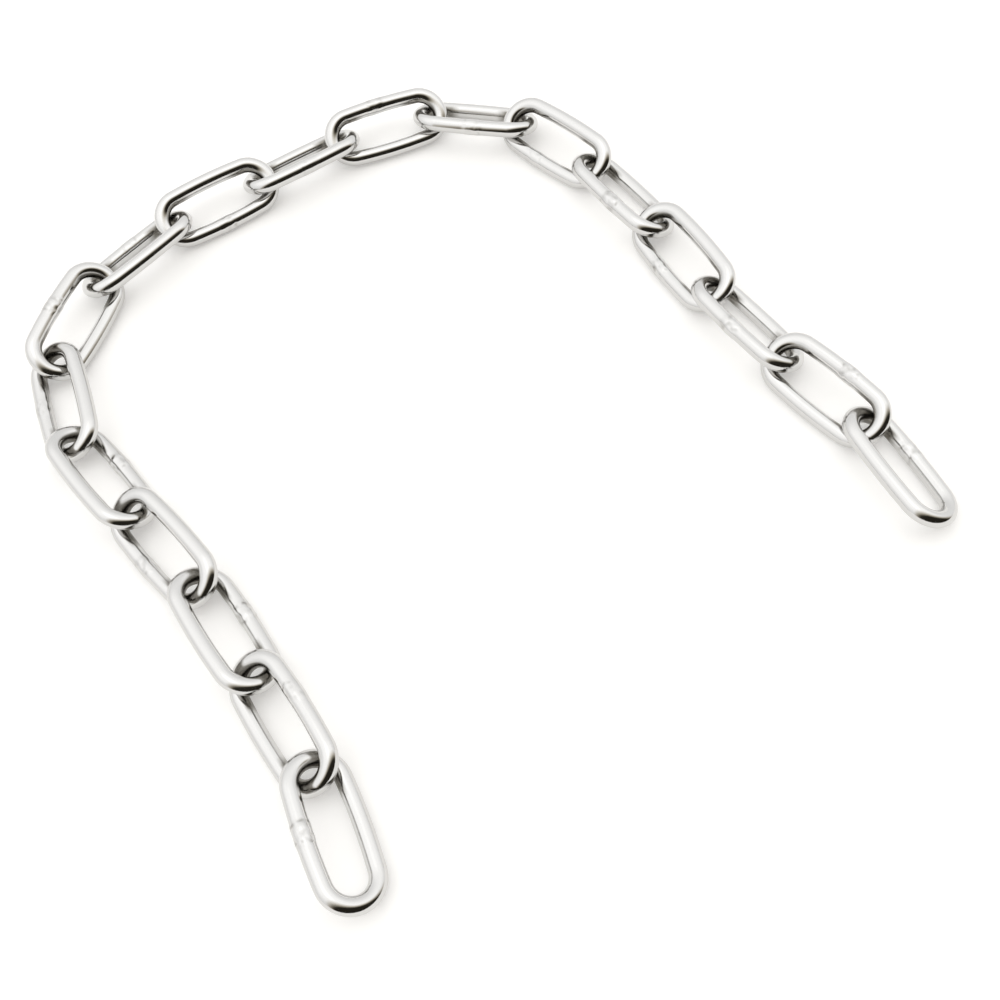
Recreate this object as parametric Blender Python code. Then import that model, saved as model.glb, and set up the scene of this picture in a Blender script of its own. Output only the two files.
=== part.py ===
"""Long-link steel chain, laid in a horseshoe on the floor.

Closed oval links of round wire, each threaded through the next. Metres, +Z up. +X is the right of
the photograph and +Y points away from its camera. Link 1 is the free end at the near left, and the
links are numbered along the chain, up the left side, over the top and down to the right.
"""

import math

import bmesh
import bpy
from mathutils import Matrix, Vector

# One link
WIRE = 0.005
LINK_LENGTH = 0.044
LINK_WIDTH = 0.0205
BAR_CURVE_DEG = 4  # how far a bar turns between its middle and a bow, because it bulges a little
WIRE_SIDES = 16
BOW_STEPS = 12
BAR_STEPS = 5  # odd, so that the middle of a bar is a straight stretch

# How the chain lies, one number for each link: the way it points, counted from +X towards +Y, and
# how far it leans. Odd links have their left bar raised, even links their right one.
HEADING_DEG = (108, 119, 120, 128, 126, 106, 67, 43, 27, 27, 15, -15, -47, -59, -65, -59, -54, -68)
LEAN_DEG = (26, 29, 28, 32, 31, 26, 35, 28, 31, 29, 33, 25, 33, 27, 29, 29, 30, 25)

# How far a bow's wire sits from the bow that it hangs in, centre to centre. The two loose end links
# are pushed up a little.
BOW_SPACING = 0.0068
END_BOW_SPACING = 0.0073

LINK_COUNT = len(HEADING_DEG)
WIRE_RADIUS = WIRE / 2
HALF_SPAN = (LINK_LENGTH - WIRE) / 2
HALF_BREADTH = (LINK_WIDTH - WIRE) / 2
BAR_CURVE = math.radians(BAR_CURVE_DEG)

# A link's outline is four arcs that meet without a kink: two bows and two nearly straight bars
RADIUS_DIFFERENCE = (HALF_SPAN - HALF_BREADTH) / (math.sin(BAR_CURVE) + math.cos(BAR_CURVE) - 1)
BOW_RADIUS = HALF_SPAN - RADIUS_DIFFERENCE * math.sin(BAR_CURVE)
BAR_RADIUS = BOW_RADIUS + RADIUS_DIFFERENCE

# How far the straight middle of a bar is from the middle of its link
BAR_OFFSET = HALF_BREADTH - BAR_RADIUS * (1 - math.cos(BAR_CURVE / BAR_STEPS))


def link_name(number):
    return f"link_{number:02d}"


def stainless_steel():
    """The one material: bright tumbled stainless steel."""
    steel = bpy.data.materials.new("stainless_steel")
    steel.use_nodes = True
    shader = steel.node_tree.nodes["Principled BSDF"]
    shader.inputs["Base Color"].default_value = (0.72, 0.71, 0.69, 1.0)
    shader.inputs["Metallic"].default_value = 1.0
    shader.inputs["Roughness"].default_value = 0.22
    return steel


def arc(centre, radius, first, last, steps):
    """(point, outward direction) pairs round an arc, without its last end."""
    stations = []
    for step in range(steps):
        angle = first + (last - first) * step / steps
        outward = Vector((math.cos(angle), math.sin(angle), 0.0))
        stations.append((centre + radius * outward, outward))
    return stations


def centre_line():
    """The wire's centre line in the link's own plane. The link lies along X, its far bow at +X."""
    bow_centre = Vector((HALF_SPAN - BOW_RADIUS, 0.0, 0.0))
    bar_centre = Vector((0.0, HALF_BREADTH - BAR_RADIUS, 0.0))
    quarter = math.pi / 2
    far_end = quarter - BAR_CURVE
    near_end = quarter + BAR_CURVE
    return (
        arc(bow_centre, BOW_RADIUS, -far_end, far_end, BOW_STEPS)
        + arc(bar_centre, BAR_RADIUS, far_end, near_end, BAR_STEPS)
        + arc(-bow_centre, BOW_RADIUS, near_end, near_end + 2 * far_end, BOW_STEPS)
        + arc(-bar_centre, BAR_RADIUS, -near_end, -far_end, BAR_STEPS)
    )


def link_mesh(name, lean):
    """A closed link of round wire, drawn with flats, one of which faces the floor when it leans."""
    corner_radius = WIRE_RADIUS / math.cos(math.pi / WIRE_SIDES)
    flat_to_floor = lean - math.pi / 2
    corner_angles = [
        flat_to_floor + math.pi * (2 * side + 1) / WIRE_SIDES for side in range(WIRE_SIDES)
    ]
    shape = bmesh.new()
    rings = []
    for point, outward in centre_line():
        ring = []
        for angle in corner_angles:
            offset = math.cos(angle) * outward + math.sin(angle) * Vector((0.0, 0.0, 1.0))
            ring.append(shape.verts.new(point + corner_radius * offset))
        rings.append(ring)
    for ring, following in zip(rings, rings[1:] + rings[:1]):
        for side in range(WIRE_SIDES):
            beside = (side + 1) % WIRE_SIDES
            shape.faces.new((ring[side], ring[beside], following[beside], following[side]))
    bmesh.ops.recalc_face_normals(shape, faces=shape.faces)
    for face in shape.faces:
        face.smooth = True
    mesh = bpy.data.meshes.new(name)
    shape.to_mesh(mesh)
    shape.free()
    return mesh


def spacing_before(index):
    """How far link index's near bow sits from the bow of the link before."""
    return END_BOW_SPACING if index in (1, LINK_COUNT - 1) else BOW_SPACING


def lying_links():
    """Where each link's centre lies and how it is turned, with its lower bar on the floor."""
    placements = []
    bow = Vector((0.0, 0.0, 0.0))
    for index, heading_deg in enumerate(HEADING_DEG):
        heading = math.radians(heading_deg)
        along = Vector((math.cos(heading), math.sin(heading), 0.0))
        if index > 0:
            between = math.radians((heading_deg + HEADING_DEG[index - 1]) / 2)
            bow -= spacing_before(index) * Vector((math.cos(between), math.sin(between), 0.0))
        lean = math.radians(LEAN_DEG[index])
        side = 1 if index % 2 == 0 else -1
        rise = Vector((0.0, 0.0, WIRE_RADIUS + BAR_OFFSET * math.sin(lean)))
        placements.append(
            Matrix.Translation(bow + HALF_SPAN * along + rise)
            @ Matrix.Rotation(heading, 4, "Z")
            @ Matrix.Rotation(side * lean, 4, "X")
        )
        bow += 2 * HALF_SPAN * along
    return placements


def add_links(placements, steel):
    """One object for each link. From the second on, its origin is in the bow that it swings on."""
    above = None
    above_origin = None
    for index, placement in enumerate(placements):
        name = link_name(index + 1)
        link = bpy.data.objects.new(name, link_mesh(name, math.radians(LEAN_DEG[index])))
        link.data.materials.append(steel)
        bpy.context.scene.collection.objects.link(link)
        origin = placement.copy()
        if above is not None:
            origin.translation = placements[index - 1] @ Vector((HALF_SPAN, 0.0, 0.0))
            link.data.transform(origin.inverted() @ placement)
            link.parent = above
            link.matrix_parent_inverse = above_origin.inverted()
        link.matrix_basis = origin
        above = link
        above_origin = origin


def centre_on_origin(first):
    """Moves the first link, and with it the chain, until the chain's middle is over the origin."""
    bpy.context.view_layer.update()
    corners = [
        link.matrix_world @ vertex.co
        for link in [first] + list(first.children_recursive)
        for vertex in link.data.vertices
    ]
    middle_x = (min(c.x for c in corners) + max(c.x for c in corners)) / 2
    middle_y = (min(c.y for c in corners) + max(c.y for c in corners)) / 2
    first.matrix_basis = Matrix.Translation((-middle_x, -middle_y, 0.0)) @ first.matrix_basis
    bpy.context.view_layer.update()


for existing in list(bpy.data.objects):
    bpy.data.objects.remove(existing)

add_links(lying_links(), stainless_steel())
centre_on_origin(bpy.data.objects[link_name(1)])
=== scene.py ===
"""A short length of long-link stainless steel chain, laid in a loose horseshoe on a white table.

Eighteen oval links, each one bent from round wire, butt welded in the middle of one bar and tumbled
bright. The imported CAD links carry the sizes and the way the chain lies.
"""

import math

import bmesh
import bpy
import numpy as np
from mathutils import Matrix, Vector, noise


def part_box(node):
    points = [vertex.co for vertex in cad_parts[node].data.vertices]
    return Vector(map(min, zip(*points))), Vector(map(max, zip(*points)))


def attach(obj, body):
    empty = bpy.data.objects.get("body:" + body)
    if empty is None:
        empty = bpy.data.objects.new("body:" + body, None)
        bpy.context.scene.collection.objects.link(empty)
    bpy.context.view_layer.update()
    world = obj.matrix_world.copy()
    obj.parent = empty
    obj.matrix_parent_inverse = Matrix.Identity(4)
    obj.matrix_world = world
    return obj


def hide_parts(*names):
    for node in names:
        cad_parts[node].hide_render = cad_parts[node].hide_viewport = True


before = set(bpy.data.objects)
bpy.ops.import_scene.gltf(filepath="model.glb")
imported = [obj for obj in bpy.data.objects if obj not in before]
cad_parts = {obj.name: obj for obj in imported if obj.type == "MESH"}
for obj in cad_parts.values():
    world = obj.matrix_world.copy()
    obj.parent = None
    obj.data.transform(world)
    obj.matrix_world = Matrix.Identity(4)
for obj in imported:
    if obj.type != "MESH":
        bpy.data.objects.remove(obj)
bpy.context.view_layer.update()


# The camera looks down on the horseshoe from its open side, about two thirds of the way up to
# overhead, through a normal lens held at a slight tilt.
VIEW_CENTRE = Vector((0.00718, -0.02351, 0.0))
VIEW_DISTANCE = 0.3301
VIEW_ELEVATION = math.radians(62.2)
VIEW_ROLL = math.radians(6.1)
SENSOR_MM = 36.0
LENS_MM = 40.7
NEAREST_SEEN = 0.01
FURTHEST_SEEN = 20.0

lens = bpy.data.cameras.new("table_camera")
lens.sensor_width = SENSOR_MM
lens.lens = LENS_MM
lens.clip_start = NEAREST_SEEN
lens.clip_end = FURTHEST_SEEN
camera = bpy.data.objects.new("table_camera", lens)
camera.matrix_world = (
    Matrix.Translation(VIEW_CENTRE)
    @ Matrix.Rotation(math.pi / 2 - VIEW_ELEVATION, 4, "X")
    @ Matrix.Translation((0.0, 0.0, VIEW_DISTANCE))
    @ Matrix.Rotation(-VIEW_ROLL, 4, "Z")
)
scene = bpy.context.scene
scene.collection.objects.link(camera)
scene.camera = camera


# The table is a sheet of smooth white paper that runs on well past the chain and is lit a little from
# below, so that the steel has nothing but white to reflect under the level of the eye.
TABLE_HALF_WIDTH = 6.0
TABLE_DROP = 0.00002  # keeps the paper clear of the round wires' undersides
PAPER_COLOUR = (0.84, 0.834, 0.822, 1.0)
PAPER_ROUGHNESS = 0.9
GLOW_COLOUR = (1.0, 0.99, 0.975, 1.0)
GLOW = 0.285

paper = bpy.data.materials.new("white_paper")
paper.use_nodes = True
paper_shader = paper.node_tree.nodes["Principled BSDF"]
paper_shader.inputs["Base Color"].default_value = PAPER_COLOUR
paper_shader.inputs["Roughness"].default_value = PAPER_ROUGHNESS
paper_shader.inputs["Specular IOR Level"].default_value = 0.0
paper_shader.inputs["Emission Color"].default_value = GLOW_COLOUR
paper_shader.inputs["Emission Strength"].default_value = GLOW

sheet = bmesh.new()
bmesh.ops.create_grid(sheet, x_segments=1, y_segments=1, size=TABLE_HALF_WIDTH)
bmesh.ops.translate(sheet, verts=sheet.verts, vec=(0.0, 0.0, -TABLE_DROP))
table_mesh = bpy.data.meshes.new("table")
sheet.to_mesh(table_mesh)
sheet.free()
table_mesh.materials.append(paper)
table = bpy.data.objects.new("table", table_mesh)
scene.collection.objects.link(table)


# The studio is a white tent. Its walls grow brighter towards the roof, the side walls sooner than the
# back one, and a soft box lies over the roof. In front it has a wide oval opening with soft edges,
# and the room behind that is dark, so the steel has something dark to mirror.
BACK_WALL_LIGHT = (1.0, 1.41)
BACK_WALL_RISE = (math.radians(14), math.radians(76))
SIDE_WALL_LIGHT = (1.03, 1.45)
SIDE_WALL_RISE = (math.radians(2), math.radians(52))
SOFT_BOX_LIGHT = (0.0, 0.2)
SOFT_BOX_EDGE = (math.radians(62), math.radians(80))
CLOTH_COLOUR = (1.0, 0.998, 0.993, 1.0)
OPENING_BEARING = math.radians(-60)
OPENING_HEIGHT = math.radians(6)
OPENING_FLATNESS = 1.35  # how much wider than high the opening is
OPENING_EDGE = (math.radians(49), math.radians(76))
ROOM_LIGHT = 0.022
ROOM_COLOUR = (1.0, 0.88, 0.66, 1.0)

scene.view_settings.view_transform = "Standard"
tent = bpy.data.worlds.new("studio_tent")
tent.use_nodes = True
scene.world = tent
tent_tree = tent.node_tree
background = tent_tree.nodes["Background"]


def worked_out(tree, operation, *values, kind="ShaderNodeMath", output="Value"):
    """The result of a math node, fed in turn by sockets or by plain values."""
    node = tree.nodes.new(kind)
    node.operation = operation
    for socket, value in zip(node.inputs, values):
        if isinstance(value, bpy.types.NodeSocket):
            tree.links.new(value, socket)
        else:
            socket.default_value = value
    return node.outputs[output]


def soft_step(tree, value, span, levels):
    """A soft step, from the first level at the start of the span to the second level at its end."""
    node = tree.nodes.new("ShaderNodeMapRange")
    node.interpolation_type = "SMOOTHSTEP"
    tree.links.new(value, node.inputs["Value"])
    for name, setting in zip(("From Min", "From Max", "To Min", "To Max"), span + levels):
        node.inputs[name].default_value = setting
    return node.outputs["Result"]


def between_colours(tree, share, colour_at_0, colour_at_1):
    """A colour that goes from one to another as the share goes from 0 to 1."""
    node = tree.nodes.new("ShaderNodeMix")
    node.data_type = "RGBA"
    tree.links.new(share, node.inputs["Factor"])
    node.inputs["A"].default_value = colour_at_0
    node.inputs["B"].default_value = colour_at_1
    return node.outputs["Result"]


direction = tent_tree.nodes.new("ShaderNodeTexCoord").outputs["Generated"]
direction_parts = tent_tree.nodes.new("ShaderNodeSeparateXYZ")
tent_tree.links.new(direction, direction_parts.inputs["Vector"])
east, north, up = direction_parts.outputs
height = worked_out(tent_tree, "ARCSINE", up)
bearing = worked_out(tent_tree, "ARCTAN2", north, east)
sideways = worked_out(tent_tree, "ABSOLUTE", worked_out(tent_tree, "COSINE", bearing))
sideways = worked_out(tent_tree, "POWER", sideways, 2.0)
back_wall = soft_step(tent_tree, height, BACK_WALL_RISE, BACK_WALL_LIGHT)
side_wall = soft_step(tent_tree, height, SIDE_WALL_RISE, SIDE_WALL_LIGHT)
side_gain = worked_out(tent_tree, "SUBTRACT", side_wall, back_wall)
wall = worked_out(tent_tree, "MULTIPLY_ADD", sideways, side_gain, back_wall)
soft_box = soft_step(tent_tree, height, SOFT_BOX_EDGE, SOFT_BOX_LIGHT)
cloth = worked_out(tent_tree, "ADD", wall, soft_box)

opening_centre = (
    math.cos(OPENING_HEIGHT) * math.cos(OPENING_BEARING),
    math.cos(OPENING_HEIGHT) * math.sin(OPENING_BEARING),
    math.sin(OPENING_HEIGHT),
)
a_vector = {"kind": "ShaderNodeVectorMath", "output": "Vector"}
flattened = worked_out(tent_tree, "MULTIPLY", direction, (1.0, 1.0, OPENING_FLATNESS), **a_vector)
flattened = worked_out(tent_tree, "NORMALIZE", flattened, **a_vector)
facing = worked_out(
    tent_tree, "DOT_PRODUCT", flattened, opening_centre, kind="ShaderNodeVectorMath"
)
off_centre = worked_out(tent_tree, "ARCCOSINE", facing)
past_opening = soft_step(tent_tree, off_centre, OPENING_EDGE, (0.0, 1.0))
# The steel mirrors the dark room, but whoever looks straight that way sees plain cloth there too
seen_directly = tent_tree.nodes.new("ShaderNodeLightPath").outputs["Is Camera Ray"]
on_cloth = worked_out(tent_tree, "MAXIMUM", past_opening, seen_directly)
light = worked_out(tent_tree, "MULTIPLY_ADD", cloth, on_cloth, ROOM_LIGHT)
tent_tree.links.new(light, background.inputs["Strength"])
tint_of_light = between_colours(tent_tree, on_cloth, ROOM_COLOUR, CLOTH_COLOUR)
tent_tree.links.new(tint_of_light, background.inputs["Color"])


# The wire is drawn stainless steel rod. After welding, the links are tumbled until they are bright,
# which leaves a skin of fine dents and scuffs over faint drawing lines along the wire. Painted shade
# darkens the steel inside the bows, in the notches beside the weld and between the weld's lumps.
STEEL_COLOUR = (0.64, 0.635, 0.625, 1.0)
# The dark colour painted on the steel as shade, and how much duller the steel is under it
PAINTED_SHADE_COLOUR = (0.18, 0.168, 0.145, 1.0)
PAINTED_SHADE_DULLNESS = 0.12
PAINTED_SHADE_COVER = (0.75, 1.0)  # least and most of the painted shade where the attribute says 1
PAINTED_SHADE_PATCHES = (0.3, 0.7)
POLISH_ROUGHNESS = (0.07, 0.17)
POLISH_PATCHES = (0.35, 0.75)
SCUFF_FINENESS = 420.0
# Three layers of relief: how fine each pattern is, how plainly it shows and how deep it is in metres
WAVE_FINENESS = 300.0
WAVE_STRENGTH = 0.2
WAVE_DEPTH = 0.00004
DENT_FINENESS = 900.0
DENT_STRENGTH = 0.25
DENT_DEPTH = 0.00001
DRAWN_FINENESS = (60.0, 3200.0, 3200.0)  # first along the wire, then across it
DRAWN_STRENGTH = 0.15
DRAWN_DEPTH = 0.000004

steel = bpy.data.materials.new("tumbled_stainless_steel")
steel.use_nodes = True
steel_tree = steel.node_tree
steel_shader = steel_tree.nodes["Principled BSDF"]
steel_shader.inputs["Metallic"].default_value = 1.0


def steel_pattern(place, fineness, detail, harshness):
    """An uneven pattern over the steel, from 0 to 1 and mostly near 0.5."""
    node = steel_tree.nodes.new("ShaderNodeTexNoise")
    steel_tree.links.new(place, node.inputs["Vector"])
    node.inputs["Scale"].default_value = fineness
    node.inputs["Detail"].default_value = detail
    node.inputs["Roughness"].default_value = harshness
    return node.outputs["Fac"]


def left_on_wire(name):
    """An attribute node for what the links' meshes keep at each of their corners."""
    node = steel_tree.nodes.new("ShaderNodeAttribute")
    node.attribute_name = name
    return node


on_piece = steel_tree.nodes.new("ShaderNodeTexCoord").outputs["Object"]
# The place on the wire as if it were straight again: the way along it, and then the place across it
drawn_out = steel_tree.nodes.new("ShaderNodeMapping")
drawn_out.inputs["Scale"].default_value = DRAWN_FINENESS
steel_tree.links.new(left_on_wire("straight_wire").outputs["Vector"], drawn_out.inputs["Vector"])

waves = steel_pattern(on_piece, WAVE_FINENESS, 2.0, 0.45)
dents = steel_pattern(on_piece, DENT_FINENESS, 2.0, 0.5)
drawing_lines = steel_pattern(drawn_out.outputs["Vector"], 1.0, 2.0, 0.6)
scuffs = steel_pattern(on_piece, SCUFF_FINENESS, 4.0, 0.65)

normal = None
for relief, strength, depth in (
    (waves, WAVE_STRENGTH, WAVE_DEPTH),
    (dents, DENT_STRENGTH, DENT_DEPTH),
    (drawing_lines, DRAWN_STRENGTH, DRAWN_DEPTH),
):
    bump = steel_tree.nodes.new("ShaderNodeBump")
    bump.inputs["Strength"].default_value = strength
    bump.inputs["Distance"].default_value = depth
    steel_tree.links.new(relief, bump.inputs["Height"])
    if normal is not None:
        steel_tree.links.new(normal, bump.inputs["Normal"])
    normal = bump.outputs["Normal"]
steel_tree.links.new(normal, steel_shader.inputs["Normal"])

# Painted shade: where the attribute says so, in patches, the steel is tinted dark and made a little
# duller
painted_shade = worked_out(
    steel_tree,
    "MULTIPLY",
    left_on_wire("painted_shade").outputs["Fac"],
    soft_step(steel_tree, scuffs, PAINTED_SHADE_PATCHES, PAINTED_SHADE_COVER),
)
polish = soft_step(steel_tree, scuffs, POLISH_PATCHES, POLISH_ROUGHNESS)
dulled = worked_out(steel_tree, "MULTIPLY_ADD", painted_shade, PAINTED_SHADE_DULLNESS, polish)
steel_tree.links.new(dulled, steel_shader.inputs["Roughness"])
steel_tint = between_colours(steel_tree, painted_shade, STEEL_COLOUR, PAINTED_SHADE_COLOUR)
steel_tree.links.new(steel_tint, steel_shader.inputs["Base Color"])


# Each link is a length of rod bent to an oval round two pins, its ends butted and welded in the
# middle of one bar. The weld is a lumpy swelling, a few millimetres long, with ragged notches at both
# ends, where the jaws held the rod.
WIRE_RADIUS = 0.0025
HALF_SPAN = 0.0195  # from the middle of the link to the middle of a bow's wire
HALF_BREADTH = 0.00775  # from the middle of the link to the middle of a bar's wire
BAR_CURVE = math.radians(4)  # how far a bar turns between its middle and a bow, because it bulges
RADIUS_DIFFERENCE = (HALF_SPAN - HALF_BREADTH) / (math.sin(BAR_CURVE) + math.cos(BAR_CURVE) - 1)
BOW_RADIUS = HALF_SPAN - RADIUS_DIFFERENCE * math.sin(BAR_CURVE)
BAR_RADIUS = BOW_RADIUS + RADIUS_DIFFERENCE
BOW_CENTRE = HALF_SPAN - BOW_RADIUS
ROUND_SIDES = 48
BOW_STEPS = 30
PLAIN_BAR_STEPS = 40
WELDED_BAR_STEPS = 160
SAME_PLACE = 0.00001

# The weld: how far it reaches, its swelling, the lumps on it, and the notches at its two ends
WELD_REACH = 0.006
SWELLING_HEIGHT = 0.00020
SWELLING_HALF_LENGTH = 0.0028
LEAST_SWELLING = 0.4  # the share of the swelling that the smoothest weld still has
LUMP_HEIGHT = 0.00017
LUMP_SIZE = 0.0014
LUMPS_HALF_LENGTH = 0.0030
NOTCH_PLACE = 0.0025
NOTCH_STRAYING = 0.0012
NOTCH_DEPTH = 0.00015
NOTCH_HALF_WIDTH = 0.0004
# How much painted shade darkens the notches, and the hollows between the lumps
PAINTED_SHADE_IN_NOTCH = 0.6
PAINTED_SHADE_BETWEEN_LUMPS = 0.8

# The painted shade inside a bow starts on the bars, a little short of it, and keeps to the inner side
POCKET_START = 0.0055
POCKET_FADE = 0.003
POCKET_EDGE = 0.55
POCKET_SHARPNESS = 4.0

# The rod isn't quite true all over: by how much, and how many times in a metre it goes in and out
ROD_UNEVENNESS = 0.000012
ROD_FINENESS = 150

# For each link, the bar that the weld is in, 1 for the left one and -1 for the right, how far along
# it the weld is and how rough it came out
WELDS = (
    (1, 0.0012, 0.9), (-1, 0.0035, 0.5), (-1, 0.0020, 1.0), (1, 0.0002, 0.8), (-1, 0.0022, 1.0),
    (1, 0.0012, 0.5), (1, 0.0000, 0.8), (1, 0.0010, 0.3), (-1, -0.0008, 0.5), (-1, -0.0002, 0.3),
    (1, -0.0018, 0.5), (-1, 0.0005, 0.3), (-1, -0.0032, 0.35), (-1, 0.0028, 0.8), (-1, -0.0018, 1.0),
    (-1, 0.0000, 0.9), (1, 0.0028, 1.0), (1, -0.0028, 0.7),
)


def bent_rod(side):
    """The closed oval, swept from a ring of the rod's section by four spins: bow, bar, bow, bar."""
    left_steps, right_steps = PLAIN_BAR_STEPS, WELDED_BAR_STEPS
    if side > 0:
        left_steps, right_steps = right_steps, left_steps
    rod = bmesh.new()
    section = bmesh.ops.create_circle(rod, segments=ROUND_SIDES, radius=WIRE_RADIUS)["verts"]
    start = (
        Matrix.Translation((BOW_CENTRE, 0.0, 0.0))
        @ Matrix.Rotation(BAR_CURVE - math.pi / 2, 4, "Z")
        @ Matrix.Translation((BOW_RADIUS, 0.0, 0.0))
        @ Matrix.Rotation(math.pi / 2, 4, "X")
    )
    bmesh.ops.transform(rod, matrix=start, verts=section)
    ring = section + list(rod.edges)
    bow_turn = math.pi - 2 * BAR_CURVE
    bar_turn = 2 * BAR_CURVE
    bar_centre = BAR_RADIUS - HALF_BREADTH
    for centre_x, centre_y, turn, steps in (
        (BOW_CENTRE, 0.0, bow_turn, BOW_STEPS),
        (0.0, -bar_centre, bar_turn, left_steps),
        (-BOW_CENTRE, 0.0, bow_turn, BOW_STEPS),
        (0.0, bar_centre, bar_turn, right_steps),
    ):
        swept = bmesh.ops.spin(
            rod,
            geom=ring,
            cent=(centre_x, centre_y, 0.0),
            axis=(0.0, 0.0, 1.0),
            angle=turn,
            steps=steps,
            use_merge=False,
        )
        ring = swept["geom_last"]
    bmesh.ops.remove_doubles(rod, verts=rod.verts, dist=SAME_PLACE)
    bmesh.ops.recalc_face_normals(rod, faces=rod.faces)
    return rod


def straightened(point, side, weld_x):
    """A point's place if the rod were straight: along it from about the weld, and then across it."""
    if abs(point.x) > BOW_CENTRE:
        past_pin = abs(point.x) - BOW_CENTRE
        along = BOW_CENTRE + BOW_RADIUS * math.atan2(past_pin, side * point.y)
        outward = math.hypot(past_pin, point.y) - BOW_RADIUS
    else:
        along = abs(point.x - weld_x)
        if side * point.y <= 0:
            along = 2 * BOW_CENTRE + BOW_RADIUS * math.pi - along
        bar_offset = math.sqrt(BAR_RADIUS**2 - point.x**2) - BAR_RADIUS + HALF_BREADTH
        outward = abs(point.y) - bar_offset
    return Vector((along, outward, point.z))


def held(share):
    """A share kept between 0 and 1."""
    return max(0.0, min(1.0, share))


def flat_topped(distance, half_length):
    """Close to 1 over most of a stretch, and quickly down to 0 at both of its ends."""
    return math.exp(-((distance / half_length) ** 4))


def weld_relief(distance, skin, seed, roughness):
    """How far the skin stands out of the true round near the weld, and how much painted shade it
    gets.
    """
    around = Vector((skin.x, skin.y, 0.0)) / WIRE_RADIUS + Vector((0.0, 0.0, 5.3 * seed))
    uneven = 0.8 + 0.7 * noise.noise(around)
    swelling = SWELLING_HEIGHT * uneven * flat_topped(distance, SWELLING_HALF_LENGTH)
    on_lumps = Vector((0.8 * distance, skin.x, skin.y)) / LUMP_SIZE
    lump = noise.noise(on_lumps + Vector((7.7 * seed, 0.0, 0.0)))
    on_weld = flat_topped(distance, LUMPS_HALF_LENGTH)
    notch = 0.0
    for end in (-1, 1):
        straying = noise.noise(around + Vector((7.0 * end, 0.0, 0.0)))
        place = end * (NOTCH_PLACE + NOTCH_STRAYING * straying)
        depth = held(2.2 * noise.noise(around * 1.5 + Vector((0.0, 3.0 * end, 0.0))))
        notch += depth * math.exp(-(((distance - place) / NOTCH_HALF_WIDTH) ** 2))
    swelling *= LEAST_SWELLING + (1.0 - LEAST_SWELLING) * roughness
    relief = swelling + roughness * (LUMP_HEIGHT * lump * on_weld - NOTCH_DEPTH * notch)
    # Painted shade in the notches and between the lumps
    left = PAINTED_SHADE_IN_NOTCH * notch + PAINTED_SHADE_BETWEEN_LUMPS * max(0.0, -lump) * on_weld
    return relief, roughness * min(1.0, left)


def inside_bow(point, skin):
    """How far inside a bow the skin is, where the next link hangs: 1 there and 0 on the outside."""
    near_bow = held((abs(point.x) - BOW_CENTRE + POCKET_START) / POCKET_FADE)
    inward = held(POCKET_SHARPNESS * (-skin.x / WIRE_RADIUS - POCKET_EDGE))
    return near_bow * inward


def lie_like(node, onward):
    """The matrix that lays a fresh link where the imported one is, its far bow onward and face up."""
    packed = bmesh.new()
    packed.from_mesh(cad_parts[node].data)
    bmesh.ops.remove_doubles(packed, verts=packed.verts, dist=SAME_PLACE)
    corners = np.array([corner.co for corner in packed.verts])
    packed.free()
    middle = corners.mean(axis=0)
    long_axis, _, face = (Vector(row) for row in np.linalg.svd(corners - middle)[2])
    if long_axis.dot(onward) < 0:
        long_axis.negate()
    if face.z < 0:
        face.negate()
    turn = Matrix((long_axis, face.cross(long_axis), face)).transposed().to_4x4()
    return Matrix.Translation(Vector(middle)) @ turn


def middle_of(node):
    """The middle of a packed link's box."""
    low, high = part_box(node)
    return (low + high) / 2


link_names = sorted(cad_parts)
for index, (side, weld_x, roughness) in enumerate(WELDS):
    node = link_names[index]
    following = link_names[min(index + 1, len(WELDS) - 1)]
    before = link_names[link_names.index(following) - 1]
    rod = bent_rod(side)
    straight_wire = rod.verts.layers.float_vector.new("straight_wire")
    # The painted shade kept at each corner of the mesh
    painted_shade_layer = rod.verts.layers.float.new("painted_shade")
    for vertex in rod.verts:
        point = vertex.co
        straight = straightened(point, side, weld_x)
        vertex[straight_wire] = straight
        skin = Vector(straight[1:])
        free_bow = (index == 0 and point.x < 0) or (following == node and point.x > 0)
        # Painted shade inside the bows, where the next link hangs, but none on the chain's two free
        # bows
        vertex[painted_shade_layer] = 0.0 if free_bow else inside_bow(point, skin)
        uneven_place = point * ROD_FINENESS + Vector((index * 5.0, 0.0, 0.0))
        relief = ROD_UNEVENNESS * noise.noise(uneven_place)
        outward = vertex.normal
        if side * point.y > 0 and abs(point.x - weld_x) < WELD_REACH:
            weld, painted_shade_there = weld_relief(point.x - weld_x, skin, index + 1.0, roughness)
            relief += weld
            vertex[painted_shade_layer] = max(vertex[painted_shade_layer], painted_shade_there)
            outward = Vector((0.0, side * skin.x, skin.y)).normalized()
        vertex.co = point + relief * outward
    lay = lie_like(node, middle_of(following) - middle_of(before))
    bmesh.ops.transform(rod, matrix=lay, verts=rod.verts)
    for vertex in rod.verts:
        vertex.co.z = max(vertex.co.z, 0.0)  # a weld's lump doesn't sink into the table
    for face in rod.faces:
        face.smooth = True
    link_mesh = bpy.data.meshes.new(f"welded_{node}")
    rod.to_mesh(link_mesh)
    rod.free()
    link_mesh.materials.append(steel)
    welded_link = bpy.data.objects.new(f"welded_{node}", link_mesh)
    scene.collection.objects.link(welded_link)
    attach(welded_link, node)
    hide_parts(node)
